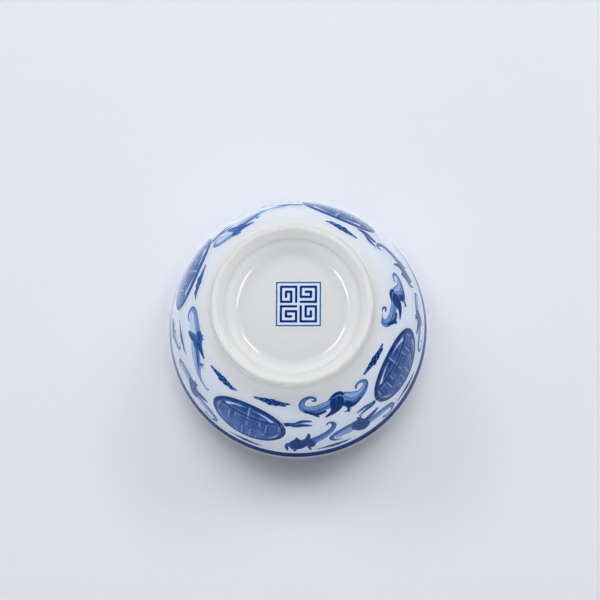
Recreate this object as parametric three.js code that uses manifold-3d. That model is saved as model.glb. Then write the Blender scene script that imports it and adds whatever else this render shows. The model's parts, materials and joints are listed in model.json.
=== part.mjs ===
// Blue-and-white porcelain teacup: a small deep bowl on a turned foot ring, with a cobalt rim
// band, four round medallions, bats and ribbon clouds laid on the outer wall, and a square
// geometric mark inside the foot. Millimetres, +Z up, origin at the centre of the foot's
// contact face, mouth opening upwards.
import * as THREE from 'three';
import * as BufferGeometryUtils from 'three/addons/utils/BufferGeometryUtils.js';
import Module from 'manifold-3d';

const wasm = await Module();
wasm.setup();

// ---- driving dimensions ----------------------------------------------------------------
const RIM_RADIUS = 31;              // outside of the mouth
const HEIGHT = 37.7;                // foot face to lip
const FOOT_RADIUS = 18.5;           // outside of the foot ring
const FOOT_FACE_WIDTH = 0.8;        // flat bare edge that the cup stands on
const FOOT_BEVEL = 0.35;            // rounding beside the bare edge
const FOOT_TAPER = 0.15;            // the foot is this much narrower where it joins the bowl
const RECESS_RADIUS = 11.8;         // flat floor of the recess under the cup
const RECESS_DEPTH = 6.5;
const BASE_THICKNESS = 2.8;         // between the recess and the floor of the bowl
const LIP_THICKNESS = 1.5;
const WALL_THICKNESS = 2.6;         // low on the wall; it thins towards the lip

const SEGMENTS = 36;                // facets round the axis
const WALL_STEPS = 7;               // facets up the wall
const LIP_STEPS = 4;                // facets over the rounded lip
const RECESS_STEPS = 5;             // facets on each half of the slope inside the foot
const MERGE_TOLERANCE = 1e-4;

const SKIN_GAP = 0.08;              // painted skins stand this far off the wall
const SKIN_THICKNESS = 0.14;

const RIM_BAND_HEIGHT = 3.6;
const MEDALLION_RADIUS = 9.4;
const MEDALLION_CORNERS = 30;
const MEDALLION_DROP = 19.0;        // from the lip to a medallion's centre, along the wall
const MEDALLION_AZIMUTHS = [26, 114, 203, 293];

// ---- materials -------------------------------------------------------------------------
const porcelain = () => new THREE.MeshStandardMaterial({ color: 0xe4e8ee, roughness: 0.12, metalness: 0 });
const cobalt = () => new THREE.MeshStandardMaterial({ color: 0x1d3a7d, roughness: 0.15, metalness: 0 });

// ---- the wall: one curve from the lip down to the foot, seen in section ----------------
const outerWall = new THREE.CubicBezierCurve(
  new THREE.Vector2(RIM_RADIUS, HEIGHT),
  new THREE.Vector2(27.9, 22.1),
  new THREE.Vector2(27, 10),
  new THREE.Vector2(17.3, 4.35),
);
const LIP_DROP = 0.6;               // the lip is rounded over this height
const LIP_SHARE = 0.013;            // where along the curve the rounded lip ends
const INNER_END = 0.85;             // where along the curve the inside turns into the bowl's floor
const FOOT_ROOT = 0.93;             // where along the curve the fillet into the foot begins
const FILLET_END = new THREE.Vector2(FOOT_RADIUS - FOOT_TAPER, 3.9);
const FILLET_MIDDLE = new THREE.Vector2(FILLET_END.x + 0.35, 4.55);
const FLOOR_EDGE = new THREE.Vector2(14, 0.25);   // the bowl's floor has risen this much, this far out

// Slope inside the foot, from the bare edge up to the recess floor
const recessSlope = new THREE.CubicBezierCurve(
  new THREE.Vector2(FOOT_RADIUS - FOOT_BEVEL - FOOT_FACE_WIDTH - FOOT_TAPER, 0.1),
  new THREE.Vector2(16.4, 0.9),
  new THREE.Vector2(15, RECESS_DEPTH),
  new THREE.Vector2(RECESS_RADIUS, RECESS_DEPTH),
);
const SEAM_SHARE = 0.5;
const seam = recessSlope.getPoint(SEAM_SHARE);    // the foot ring meets the bowl at this height

// A point of the wall's section and its outward normal, at a share t of the curve
function wallFrame(t) {
  const point = outerWall.getPoint(t);
  const tangent = outerWall.getTangent(t);
  return { point, normal: new THREE.Vector2(-tangent.y, tangent.x) };
}

// Shares of the curve where the wall's facets meet
const wallStations = Array.from({ length: WALL_STEPS + 1 }, (_, i) => (
  LIP_SHARE + (FOOT_ROOT - LIP_SHARE) * i / WALL_STEPS
));

// The wall's frame at a distance from the lip, measured along the wall
const WALL_LENGTH = outerWall.getLength();
function wallAt(drop) {
  return wallFrame(outerWall.getUtoTmapping(drop / WALL_LENGTH));
}

// ---- solids ----------------------------------------------------------------------------
function lathe(section) {
  return new THREE.LatheGeometry(section, SEGMENTS).rotateX(Math.PI / 2);
}

function toSolid(geometry) {
  const bare = geometry.clone();
  bare.deleteAttribute('normal');
  bare.deleteAttribute('uv');
  const merged = BufferGeometryUtils.mergeVertices(bare, MERGE_TOLERANCE);
  return new wasm.Manifold(new wasm.Mesh({
    numProp: 3,
    vertProperties: merged.attributes.position.array,
    triVerts: merged.index.array,
  }));
}

function toGeometry(solid) {
  const mesh = solid.getMesh();
  const geometry = new THREE.BufferGeometry();
  geometry.setAttribute('position', new THREE.BufferAttribute(mesh.vertProperties, 3));
  geometry.setIndex(new THREE.BufferAttribute(mesh.triVerts, 1));
  return geometry;
}

function bowlSection() {
  const section = [new THREE.Vector2(0, RECESS_DEPTH)];
  for (let i = RECESS_STEPS; i >= 0; i -= 1) {
    section.push(recessSlope.getPoint(SEAM_SHARE + (1 - SEAM_SHARE) * i / RECESS_STEPS));
  }
  section.push(new THREE.Vector2(FILLET_END.x, seam.y));
  section.push(FILLET_END);
  section.push(FILLET_MIDDLE);
  section.push(...wallStations.map((t) => wallFrame(t).point).reverse());

  for (let i = 1; i < LIP_STEPS; i += 1) {
    const turn = Math.PI * i / LIP_STEPS;
    section.push(new THREE.Vector2(
      RIM_RADIUS - LIP_THICKNESS / 2 * (1 - Math.cos(turn)),
      HEIGHT - LIP_DROP * (1 - Math.sin(turn)),
    ));
  }
  for (const t of wallStations.filter((station) => station < INNER_END)) {
    const { point, normal } = wallFrame(t);
    const thickness = LIP_THICKNESS + (WALL_THICKNESS - LIP_THICKNESS) * t;
    section.push(point.clone().addScaledVector(normal, -thickness));
  }
  const floor = RECESS_DEPTH + BASE_THICKNESS;
  section.push(new THREE.Vector2(FLOOR_EDGE.x, floor + FLOOR_EDGE.y));
  section.push(new THREE.Vector2(0, floor));
  return section;
}

function footSection() {
  const section = [];
  for (let i = RECESS_STEPS; i >= 0; i -= 1) {
    section.push(recessSlope.getPoint(SEAM_SHARE * i / RECESS_STEPS));
  }
  section.push(new THREE.Vector2(FOOT_RADIUS - FOOT_BEVEL - FOOT_FACE_WIDTH, 0));
  section.push(new THREE.Vector2(FOOT_RADIUS - FOOT_BEVEL, 0));
  section.push(new THREE.Vector2(FOOT_RADIUS, FOOT_BEVEL));
  section.push(new THREE.Vector2(FILLET_END.x, seam.y));
  section.push(section[0].clone());
  return section;
}

// A thin closed skin over the wall, through the given shares of the wall's curve
function skinSection(stations) {
  const near = [];
  const far = [];
  for (const t of stations) {
    const { point, normal } = wallFrame(t);
    near.push(point.clone().addScaledVector(normal, SKIN_GAP));
    far.push(point.clone().addScaledVector(normal, SKIN_GAP + SKIN_THICKNESS));
  }
  return [...near, ...far.reverse(), near[0].clone()];
}

// ---- painted motifs: outlines laid on the wall -----------------------------------------
// A motif's outline is in millimetres about its middle, seen from outside with the foot
// upwards: x to the right, which is falling azimuth, and y towards the foot.
function disc(radius, count) {
  return Array.from({ length: count }, (_, i) => {
    const turn = 2 * Math.PI * i / count;
    return [radius * Math.cos(turn), radius * Math.sin(turn)];
  });
}

// The wall's own point in space, at an azimuth and a distance from the lip
function wallPoint(azimuth, drop) {
  const { point } = wallAt(drop);
  return new THREE.Vector3(point.x * Math.cos(azimuth), point.x * Math.sin(azimuth), point.y);
}

const wallSkin = toSolid(lathe(skinSection(wallStations)));

const PRISM_DEPTH = 14;             // deep enough for the widest motif to curve away in
const PRISM_INSIDE = 0.7;           // share of it that reaches into the cup

// Cuts the wall skin to an outline: each outline point is put on the wall, and a prism through
// all of them, square to the wall at the motif's middle, is what the skin keeps. A negative
// scale mirrors the motif left to right.
function motif(name, outline, azimuthDegrees, drop, turnDegrees = 0, scale = 1) {
  const azimuth = THREE.MathUtils.degToRad(azimuthDegrees);
  const turn = THREE.MathUtils.degToRad(turnDegrees);
  const middle = wallAt(drop);
  const outwards = new THREE.Vector3(
    middle.normal.x * Math.cos(azimuth), middle.normal.x * Math.sin(azimuth), middle.normal.y,
  );
  const along = new THREE.Vector3(-Math.sin(azimuth), Math.cos(azimuth), 0);
  const across = new THREE.Vector3().crossVectors(outwards, along);
  const placed = new THREE.Matrix4().makeBasis(along, across, outwards);
  placed.setPosition(wallPoint(azimuth, drop));
  const unplaced = placed.clone().invert();
  const corners = outline.map(([x, y]) => {
    const sizedX = scale * x;
    const sizedY = Math.abs(scale) * y;
    const turnedX = sizedX * Math.cos(turn) - sizedY * Math.sin(turn);
    const turnedY = sizedX * Math.sin(turn) + sizedY * Math.cos(turn);
    const cornerDrop = drop + turnedY;
    const radius = wallAt(cornerDrop).point.x;
    const corner = wallPoint(azimuth - turnedX / radius, cornerDrop).applyMatrix4(unplaced);
    return new THREE.Vector2(corner.x, corner.y);
  });
  if (THREE.ShapeUtils.isClockWise(corners)) corners.reverse();
  const prism = new THREE.ExtrudeGeometry(
    new THREE.Shape(corners),
    { depth: PRISM_DEPTH, bevelEnabled: false },
  );
  prism.translate(0, 0, -PRISM_INSIDE * PRISM_DEPTH).applyMatrix4(placed);
  const skin = wallSkin.intersect(toSolid(prism));
  const mesh = new THREE.Mesh(toGeometry(skin), cobalt());
  mesh.name = name;
  return mesh;
}

const cloudOutline = [
  [-3.9, 0], [-2.6, 0.3], [-1.2, 0.85], [0.2, 0.95], [1.4, 0.6], [2.8, 0.3], [4, 0],
  [2.7, -0.7], [1.6, -0.5], [0.5, -0.85], [-0.9, -0.9], [-1.9, -0.5],
];

const tasselOutline = [
  [-1.5, 0.3], [-0.9, 1.2], [1.2, 1.3], [2.4, 0.9], [2.6, -0.2], [1.5, -1], [-1.3, -0.8],
];

// Wings spread and curled towards the foot
const spreadBat = [
  [-4.3, 3.6], [-3.8, 4.5], [-5.4, 5.2], [-7.3, 4.1], [-8.5, 1.8], [-7.6, 0], [-5.2, -2.1],
  [-4.2, -0.9], [-2.2, -0.3], [-3.4, -2.8], [-0.6, -2.3], [0.8, -1.2], [1.7, -2.2], [1.3, -4.3],
  [2, -5], [3, -3.8], [6, -2.7], [8.3, -0.8], [8.9, 0.9], [8.2, 2.2], [6.6, 2.9], [5.5, 2.2],
  [7.2, 1.8], [7.2, 0], [5.2, 0.3], [3.4, 2.2], [1.3, 3.6], [-2.1, 2.4], [-4.5, 1.6],
  [-6.7, 2.3], [-6, 4.2],
];

// In a dive: one wing folded into a loop, the other trailing long and thin
const divingBat = [
  [-7.9, -0.2], [-6.8, 1.3], [-4.6, 1.9], [-1.9, 1.9], [-0.2, 2.4], [1.2, 0.8], [4.4, -0.1],
  [4.2, -0.9], [6.2, -1.8], [7.7, -5.6], [9.6, -7.7], [11, -7.3], [11.2, -8.8], [9.4, -8.6],
  [5, -5.4], [1.5, -3.6], [-2.8, -3], [-2.6, -0.9], [-4.6, -2.3], [-6.8, -2.2],
];

// Hanging: both wings curled towards the lip
const hangingBat = [
  [-8.4, -2.4], [-9, -0.4], [-8.2, 2], [-6, 3.7], [-2.5, 4.6], [-1.2, 4.1], [-0.4, 6], [0.5, 3.2],
  [3.4, 3.3], [4.6, 2.6], [3.6, 1.5], [4, 0.3], [6.4, 1.5], [8, -0.7], [9.1, -3.2], [9.2, -5.6],
  [8, -7.2], [6.9, -6.6], [7.7, -3.6], [6, -2], [3.5, -2.7], [0.8, -4.5], [-1.2, -4.4],
  [-3.8, 0.4], [-6, 1.5], [-7.3, 0.2], [-6.6, -3],
];

// Climbing: one wing raised into a hook towards the foot
const climbingBat = [
  [-3.7, -5.6], [-4, -2], [-3.3, 0.7], [-1.7, 2], [-1.2, 4.6], [0, 2.8], [1, 4.4], [1.8, 6.6],
  [2.5, 5], [4.4, 5.4], [6.3, 7.5], [7.1, 9.2], [6, 10.5], [7.2, 11.2], [8.5, 10], [8.5, 8],
  [7.2, 5.8], [5.5, 3], [4, 0], [3, -2.7], [1.8, -2.2], [2, -5.4], [0.7, -6], [0.3, -3.3],
  [-1.5, -3.5], [-2, -6],
];

// Bats fly in every gap between two medallions: azimuth, distance from the lip, turn, scale
const bats = [
  { kind: 'spread', outline: spreadBat, places: [[65, 27.9, 0, 1], [355, 27.7, -26, 0.88]] },
  { kind: 'diving', outline: divingBat, places: [[163, 29.5, 0, 1], [235, 29.8, -15, -0.9]] },
  {
    kind: 'hanging',
    outline: hangingBat,
    places: [[56.3, 11.8, 0, 1], [145.3, 12, 0, 0.95], [240, 12, 0, 0.95], [359.5, 11.2, 0, -0.78]],
  },
  {
    kind: 'climbing',
    outline: climbingBat,
    places: [[87.1, 11.5, 0, 1], [177, 10.2, 0, 0.7], [268, 11.5, 0, 0.9], [337, 17.2, 0, 0.9]],
  },
];

// Ribbon clouds near the foot and near the lip: azimuth, distance from the lip
const cloudPlaces = [
  [32, 31.2], [102.5, 31.3], [135, 30.1], [197, 30], [300.4, 31.3],
  [29.4, 5.9], [72.4, 6], [113.6, 6.1], [168.9, 20.5], [203, 6], [293, 6],
];

// Ribbon tassels beside the medallions: azimuth, distance from the lip, and the side that
// each one's ends point to
const tasselPlaces = [
  [88.5, 23.6, 1], [49.8, 19.2, -1], [313, 26.4, -1], [266, 23.4, 1], [227, 24.4, -1],
];

// ---- square mark on the recess floor ---------------------------------------------------
const MARK_CENTRE = new THREE.Vector2(1.25, -0.95);
const MARK_SIDE = 10.2;
const MARK_LINE = 0.35;
const MARK_CELL = 3.7;              // side of each of the four blocks inside the frame
const MARK_GAP = 0.8;               // between two blocks

function square(side) {
  const half = side / 2;
  return [[-half, -half], [half, -half], [half, half], [-half, half]].map((xy) => new THREE.Vector2(...xy));
}

function markFrame() {
  const outline = new THREE.Shape(square(MARK_SIDE));
  outline.holes.push(new THREE.Path(square(MARK_SIDE - 2 * MARK_LINE)));
  return outline;
}

// A meander block: a square spiral of one stroke width
function meander() {
  const unit = MARK_CELL / 5;
  const half = MARK_CELL / 2;
  const corners = [
    [0, 0], [5, 0], [5, 5], [1, 5], [1, 2], [3, 2], [3, 3], [2, 3], [2, 4], [4, 4], [4, 1], [0, 1],
  ];
  return new THREE.Shape(corners.map(([x, y]) => new THREE.Vector2(x * unit - half, y * unit - half)));
}

function markPiece(name, shape, x, y, turn) {
  const geometry = new THREE.ExtrudeGeometry(shape, { depth: SKIN_THICKNESS, bevelEnabled: false });
  const mesh = new THREE.Mesh(geometry, cobalt());
  mesh.name = name;
  mesh.position.set(MARK_CENTRE.x + x, MARK_CENTRE.y + y, RECESS_DEPTH - SKIN_GAP - SKIN_THICKNESS);
  mesh.rotation.z = turn;
  return mesh;
}

// ---- assembly --------------------------------------------------------------------------
function latheMesh(name, section, material) {
  const mesh = new THREE.Mesh(lathe(section), material);
  mesh.name = name;
  return mesh;
}

const cup = new THREE.Group();
cup.add(latheMesh('bowl', bowlSection(), porcelain()));
cup.add(latheMesh('foot_ring', footSection(), porcelain()));
const bandEnd = outerWall.getUtoTmapping(RIM_BAND_HEIGHT / WALL_LENGTH);
cup.add(latheMesh('rim_band', skinSection([LIP_SHARE, bandEnd]), cobalt()));

MEDALLION_AZIMUTHS.forEach((azimuth, i) => {
  cup.add(motif(`medallion_${i + 1}`, disc(MEDALLION_RADIUS, MEDALLION_CORNERS), azimuth, MEDALLION_DROP));
});

tasselPlaces.forEach(([azimuth, drop, side], i) => {
  cup.add(motif(`tassel_${i + 1}`, tasselOutline, azimuth, drop, 0, side));
});

bats.forEach(({ kind, outline, places }) => {
  places.forEach(([azimuth, drop, turn, scale], i) => {
    cup.add(motif(`bat_${kind}_${i + 1}`, outline, azimuth, drop, turn, scale));
  });
});

cloudPlaces.forEach(([azimuth, drop], i) => {
  cup.add(motif(`cloud_${i + 1}`, cloudOutline, azimuth, drop));
});

cup.add(markPiece('mark_frame', markFrame(), 0, 0, 0));
for (let i = 0; i < 4; i += 1) {
  const turn = i * Math.PI / 2;
  const offset = (MARK_CELL + MARK_GAP) / 2;
  const x = offset * (i === 0 || i === 3 ? 1 : -1);
  const y = offset * (i < 2 ? 1 : -1);
  cup.add(markPiece(`mark_block_${i + 1}`, meander(), x, y, turn));
}

export default cup;
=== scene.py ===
# Blue-and-white porcelain teacup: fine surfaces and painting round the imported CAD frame.
import json
import math

import bpy
import numpy as np
from mathutils import Matrix, Vector

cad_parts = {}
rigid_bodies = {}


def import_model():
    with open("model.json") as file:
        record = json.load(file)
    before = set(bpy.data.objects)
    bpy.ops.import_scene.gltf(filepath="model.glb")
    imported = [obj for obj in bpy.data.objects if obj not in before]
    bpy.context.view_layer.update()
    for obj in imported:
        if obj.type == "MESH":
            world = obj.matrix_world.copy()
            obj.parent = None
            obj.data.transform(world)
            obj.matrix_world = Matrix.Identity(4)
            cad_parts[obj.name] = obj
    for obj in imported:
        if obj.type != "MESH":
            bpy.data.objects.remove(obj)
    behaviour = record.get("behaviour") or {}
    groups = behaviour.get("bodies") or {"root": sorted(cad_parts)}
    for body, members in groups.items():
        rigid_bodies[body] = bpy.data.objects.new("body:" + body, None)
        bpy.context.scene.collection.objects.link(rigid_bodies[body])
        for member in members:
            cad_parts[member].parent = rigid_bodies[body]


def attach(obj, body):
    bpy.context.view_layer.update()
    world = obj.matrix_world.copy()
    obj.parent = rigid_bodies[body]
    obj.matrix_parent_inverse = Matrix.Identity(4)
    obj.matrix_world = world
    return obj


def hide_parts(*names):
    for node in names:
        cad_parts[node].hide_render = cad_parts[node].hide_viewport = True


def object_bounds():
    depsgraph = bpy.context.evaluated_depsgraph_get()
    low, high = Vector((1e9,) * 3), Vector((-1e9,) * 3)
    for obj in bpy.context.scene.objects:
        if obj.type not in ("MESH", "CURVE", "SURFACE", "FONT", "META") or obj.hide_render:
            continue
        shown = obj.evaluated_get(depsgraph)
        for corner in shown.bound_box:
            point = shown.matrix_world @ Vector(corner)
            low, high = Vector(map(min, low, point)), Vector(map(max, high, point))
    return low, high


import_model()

CAD_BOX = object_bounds()
MM = 0.001

# ---- the cup's section, in millimetres -------------------------------------------------
# The wall and the recess are the CAD's curves, to about 0.2. Measured against the CAD, the
# foot is up to about 0.3 narrower near its edge, the hollow above it up to about 0.5 fuller,
# and the floor inside the bowl sags up to about 1.9 lower, most near radius 16.
RIM_RADIUS = 31.0
HEIGHT = round(CAD_BOX[1][2] / MM, 3)
FOOT_RADIUS = 18.5
FOOT_EDGE_RADIUS = 17.85        # middle of the bare edge that the cup stands on
FOOT_EDGE_HALF = 0.12
RECESS_RADIUS = 11.8
RECESS_DEPTH = 6.5
FLOOR_HEIGHT = 9.3              # inside, on the axis
LIP_THICKNESS = 1.5
WALL_THICKNESS = 2.6
LIP_DROP = 0.6                  # the lip is rounded over this height
LIP_SHARE = 0.013               # the wall's curve starts here, below the rounded lip
INNER_END = 0.85                # the inside leaves the wall's curve here for the floor
FOOT_FLARE = 0.22               # the foot's outside starts this much inside its widest
FILLET_LOW = 1.2                # the hollow between foot and bowl starts this high
FILLET_SHARE = 0.87             # and runs out here on the wall's curve
FILLET_RISE = (0.10, 1.7)       # how it leaves the foot
FILLET_RUN = 2.1                # how far it follows the wall's direction

WALL = np.array([(RIM_RADIUS, HEIGHT), (27.9, 22.1), (27.0, 10.0), (17.3, 4.35)])
RECESS = np.array([(17.2, 0.1), (16.4, 0.9), (15.0, RECESS_DEPTH), (RECESS_RADIUS, RECESS_DEPTH)])
SEAM_SHARE = 0.5                # where the foot ring meets the bowl on the recess curve

TURNS = 288                     # steps round the axis on the fine surfaces
PAINT_STEP = 0.16               # grid of the painted patches
PAINT_LIFT = 0.045              # paint above the wall
PAINT_ROOT = -0.03              # and its underside, just inside the wall
LEAST_INK = 0.012               # fainter paint gets no patch

PAINTED_REFLECTION_AZIMUTH = 225              # painted reflection: the painting is paler round this side, standing in for the bright table mirrored in the glaze at grazing angles
PAINTED_REFLECTION_SHARE = 0.26
MEDALLION_RADIUS = 9.4
MEDALLION_DROP = 19.0
MEDALLION_AZIMUTHS = [26, 114, 203, 293]
RIM_BAND_HEIGHT = 3.6
BAND_PAINTED_REFLECTION_SHARE = 0.45          # painted reflection: how much paler the band is opposite azimuth 90, standing in for the bright table mirrored in the glaze, which lies in shadow at azimuth 90


def bezier(controls, share):
    share = np.asarray(share, float)[..., None]
    rest = 1 - share
    return (rest ** 3 * controls[0] + 3 * share * rest ** 2 * controls[1]
            + 3 * share ** 2 * rest * controls[2] + share ** 3 * controls[3])


def bezier_normal(controls, share):
    share = np.asarray(share, float)[..., None]
    rest = 1 - share
    slope = (rest ** 2 * (controls[1] - controls[0]) + 2 * share * rest * (controls[2] - controls[1])
             + share ** 2 * (controls[3] - controls[2]))
    slope = slope / np.linalg.norm(slope, axis=-1, keepdims=True)
    return np.stack([-slope[..., 1], slope[..., 0]], -1)


SEAM_HEIGHT = bezier(RECESS, SEAM_SHARE)[1]
FINE = np.linspace(0, 1, 2001)
FINE_POINTS = bezier(WALL, FINE)
FINE_DROP = np.concatenate([[0], np.cumsum(np.hypot(*np.diff(FINE_POINTS, axis=0).T))])


def wall_at(drop):
    """Radius, height and outward normal of the wall, at a distance from the lip along it."""
    share = np.interp(drop, FINE_DROP, FINE)
    return bezier(WALL, share), bezier_normal(WALL, share)


# ---- mesh helpers ----------------------------------------------------------------------
def make_mesh(name, points, faces, materials, smooth=True):
    mesh = bpy.data.meshes.new(name)
    mesh.from_pydata([tuple(p) for p in points], [], [tuple(int(i) for i in f) for f in faces])
    mesh.polygons.foreach_set("use_smooth", [smooth] * len(mesh.polygons))
    for material in materials:
        mesh.materials.append(material)
    mesh.update()
    if smooth:
        mesh.set_sharp_from_angle(angle=math.radians(50))
    piece = bpy.data.objects.new(name, mesh)
    bpy.context.collection.objects.link(piece)
    return piece


def lathe(name, section, material, turns=TURNS):
    """A closed body of revolution from a section in millimetres that starts and ends on the
    axis, or closes on itself."""
    section = np.asarray(section, float)
    on_axis = section[0][0] < 1e-9
    ring = section[1:-1] if on_axis else section
    angle = 2 * np.pi * np.arange(turns) / turns
    points = [(r * math.cos(a), r * math.sin(a), z) for r, z in ring for a in angle]
    rows = len(ring)
    faces = []
    for row in range(rows - 1 if on_axis else rows):
        below = row * turns
        above = (row + 1) % rows * turns
        for i in range(turns):
            j = (i + 1) % turns
            faces.append((below + i, below + j, above + j, above + i))
    if on_axis:
        bottom = len(points)
        points.append((0, 0, section[0][1]))
        points.append((0, 0, section[-1][1]))
        last = (rows - 1) * turns
        for i in range(turns):
            j = (i + 1) % turns
            faces.append((bottom, j, i))
            faces.append((bottom + 1, last + i, last + j))
    return make_mesh(name, np.array(points) * MM, faces, [material])


def arc(centre, radii, start, end, count):
    angle = np.radians(np.linspace(start, end, count))
    return np.stack([centre[0] + radii[0] * np.cos(angle), centre[1] + radii[1] * np.sin(angle)], -1)


# ---- materials -------------------------------------------------------------------------
PORCELAIN = (0.725, 0.722, 0.718)
PORCELAIN_COOL = (0.70, 0.71, 0.72)
PORCELAIN_BLUE = (0.67, 0.745, 0.875)     # where the cobalt has bled into the glaze
PORCELAIN_RECESS_SHADE = (0.60, 0.605, 0.615)   # painted shade: greyer on the recess floor inside the foot, where the foot ring shades it
BISCUIT = (0.60, 0.60, 0.595)
BISCUIT_PALE = (0.65, 0.65, 0.645)
BLUE_HEIGHTS = (0.004, 0.013)           # metres; the wall turns blue between these heights
RECESS_SHADE_RADII = (0.0145, 0.0118)           # metres; the painted shade in the recess deepens inwards between these radii
BARE_HEIGHT = 1 / 4500                  # metres; the glaze is wiped off below this
BARE_RAGGED = 0.00008
GLAZE_ROUGHNESS = 0.09
BARE_ROUGHNESS = 0.6


def srgb(red, green, blue):
    """Linear color from the usual 0 to 255 scale."""
    def linear(value):
        value /= 255
        return value / 12.92 if value < 0.04045 else ((value + 0.055) / 1.055) ** 2.4
    return (linear(red), linear(green), linear(blue))


def new_material(name):
    material = bpy.data.materials.new(name)
    material.use_nodes = True
    nodes = material.node_tree.nodes
    shader = nodes["Principled BSDF"]
    return material, nodes, material.node_tree.links, shader


def glaze(shader):
    """A clear, hard glaze over translucent porcelain."""
    shader.inputs["Roughness"].default_value = GLAZE_ROUGHNESS
    shader.inputs["IOR"].default_value = 1.46
    shader.inputs["Specular IOR Level"].default_value = 0.42
    shader.inputs["Subsurface Weight"].default_value = 0.35
    shader.inputs["Subsurface Radius"].default_value = (1.0, 0.95, 0.9)
    shader.inputs["Subsurface Scale"].default_value = 0.002


def place(nodes, links):
    coordinates = nodes.new("ShaderNodeTexCoord")
    return coordinates.outputs["Object"]


def noise(nodes, links, where, scale, detail=3.0, roughness=0.5):
    node = nodes.new("ShaderNodeTexNoise")
    node.inputs["Scale"].default_value = scale
    node.inputs["Detail"].default_value = detail
    node.inputs["Roughness"].default_value = roughness
    links.new(where, node.inputs["Vector"])
    return node.outputs["Fac"]


def ramp(nodes, links, factor, stops):
    node = nodes.new("ShaderNodeValToRGB")
    elements = node.color_ramp.elements
    while len(elements) < len(stops):
        elements.new(0.5)
    for element, (position, color) in zip(elements, stops):
        element.position = position
        element.color = (*color, 1)
    links.new(factor, node.inputs["Fac"])
    return node.outputs["Color"]


def maths(nodes, links, operation, first, second, clamp=False):
    node = nodes.new("ShaderNodeMath")
    node.operation = operation
    node.use_clamp = clamp
    for socket, value in zip(node.inputs, (first, second)):
        if isinstance(value, (int, float)):
            socket.default_value = value
        else:
            links.new(value, socket)
    return node.outputs[0]


def mix(nodes, links, factor, first, second):
    node = nodes.new("ShaderNodeMix")
    node.data_type = "RGBA"
    for socket, value in ((node.inputs["Factor"], factor), (node.inputs[6], first), (node.inputs[7],
                                                                                     second)):
        if isinstance(value, (int, float)):
            socket.default_value = value
        elif isinstance(value, tuple):
            socket.default_value = (*value, 1)
        else:
            links.new(value, socket)
    return node.outputs[2]


def glaze_bump(nodes, links, where, shader):
    """Very slight unevenness of the glaze: long swells and a fine orange peel."""
    swell = noise(nodes, links, where, 70, 2.0)
    peel = noise(nodes, links, where, 900, 2.0)
    height = maths(nodes, links, "ADD", swell, maths(nodes, links, "MULTIPLY", peel, 0.08))
    bump = nodes.new("ShaderNodeBump")
    bump.inputs["Strength"].default_value = 0.25
    bump.inputs["Distance"].default_value = 0.00025
    links.new(height, bump.inputs["Height"])
    links.new(bump.outputs["Normal"], shader.inputs["Normal"])


def porcelain_color(nodes, links, where):
    """White, turning bluer up the outside of the wall, with painted shade making the recess inside the foot
    greyer. Known fault:
    a ring of the bowl's floor leans outwards, so it is taken for the outside and tinted too."""
    white = mix(nodes, links, noise(nodes, links, where, 45, 3.0), PORCELAIN, PORCELAIN_COOL)
    split = nodes.new("ShaderNodeSeparateXYZ")
    links.new(where, split.inputs[0])
    height = nodes.new("ShaderNodeMapRange")
    height.inputs["From Min"].default_value = BLUE_HEIGHTS[0]
    height.inputs["From Max"].default_value = BLUE_HEIGHTS[1]
    links.new(split.outputs["Z"], height.inputs["Value"])
    flat = nodes.new("ShaderNodeVectorMath")
    flat.operation = "MULTIPLY"
    flat.inputs[1].default_value = (1, 1, 0)
    links.new(where, flat.inputs[0])
    facing = nodes.new("ShaderNodeVectorMath")
    facing.operation = "DOT_PRODUCT"
    links.new(flat.outputs[0], facing.inputs[0])
    links.new(nodes.new("ShaderNodeTexCoord").outputs["Normal"], facing.inputs[1])
    outside = maths(nodes, links, "GREATER_THAN", facing.outputs["Value"], 0.001)
    bluing = maths(nodes, links, "MULTIPLY", height.outputs["Result"], outside)
    tinted = mix(nodes, links, bluing, white, PORCELAIN_BLUE)
    radius = nodes.new("ShaderNodeVectorMath")
    radius.operation = "LENGTH"
    links.new(flat.outputs[0], radius.inputs[0])
    # Painted shade: grey laid on the recess floor inside the foot, stronger towards the axis and only low
    # down.
    base = nodes.new("ShaderNodeMapRange")
    base.inputs["From Min"].default_value = RECESS_SHADE_RADII[0]
    base.inputs["From Max"].default_value = RECESS_SHADE_RADII[1]
    links.new(radius.outputs["Value"], base.inputs["Value"])
    below = maths(nodes, links, "LESS_THAN", split.outputs["Z"], (RECESS_DEPTH + 1) * MM)
    recess_shading = maths(nodes, links, "MULTIPLY", base.outputs["Result"], below)
    return mix(nodes, links, recess_shading, tinted, PORCELAIN_RECESS_SHADE)


def porcelain_material():
    """White glazed porcelain; the edge that the cup stands on is bare and a little greyer."""
    material, nodes, links, shader = new_material("porcelain_glazed")
    where = place(nodes, links)
    glaze(shader)
    glazed = porcelain_color(nodes, links, where)
    split = nodes.new("ShaderNodeSeparateXYZ")
    links.new(where, split.inputs[0])
    ragged = maths(nodes, links, "MULTIPLY", noise(nodes, links, where, 900, 3.0), BARE_RAGGED)
    level = maths(nodes, links, "SUBTRACT", split.outputs["Z"], ragged)
    covered = maths(nodes, links, "MULTIPLY", level, 1 / BARE_HEIGHT)
    bare = maths(nodes, links, "SUBTRACT", 1.0, covered, clamp=True)
    grain = mix(nodes, links, noise(nodes, links, where, 2500, 2.0), BISCUIT, BISCUIT_PALE)
    links.new(mix(nodes, links, bare, glazed, grain), shader.inputs["Base Color"])
    dullness = maths(nodes, links, "MULTIPLY", bare, BARE_ROUGHNESS)
    links.new(maths(nodes, links, "ADD", dullness, GLAZE_ROUGHNESS), shader.inputs["Roughness"])
    glaze_bump(nodes, links, where, shader)
    return material


COBALT_STOPS = [
    (0.0, srgb(196, 214, 238)),
    (0.2, srgb(160, 186, 222)),
    (0.4, srgb(100, 138, 194)),
    (0.6, srgb(56, 97, 166)),
    (0.8, srgb(22, 61, 132)),
    (1.0, srgb(6, 37, 92)),
]


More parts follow.
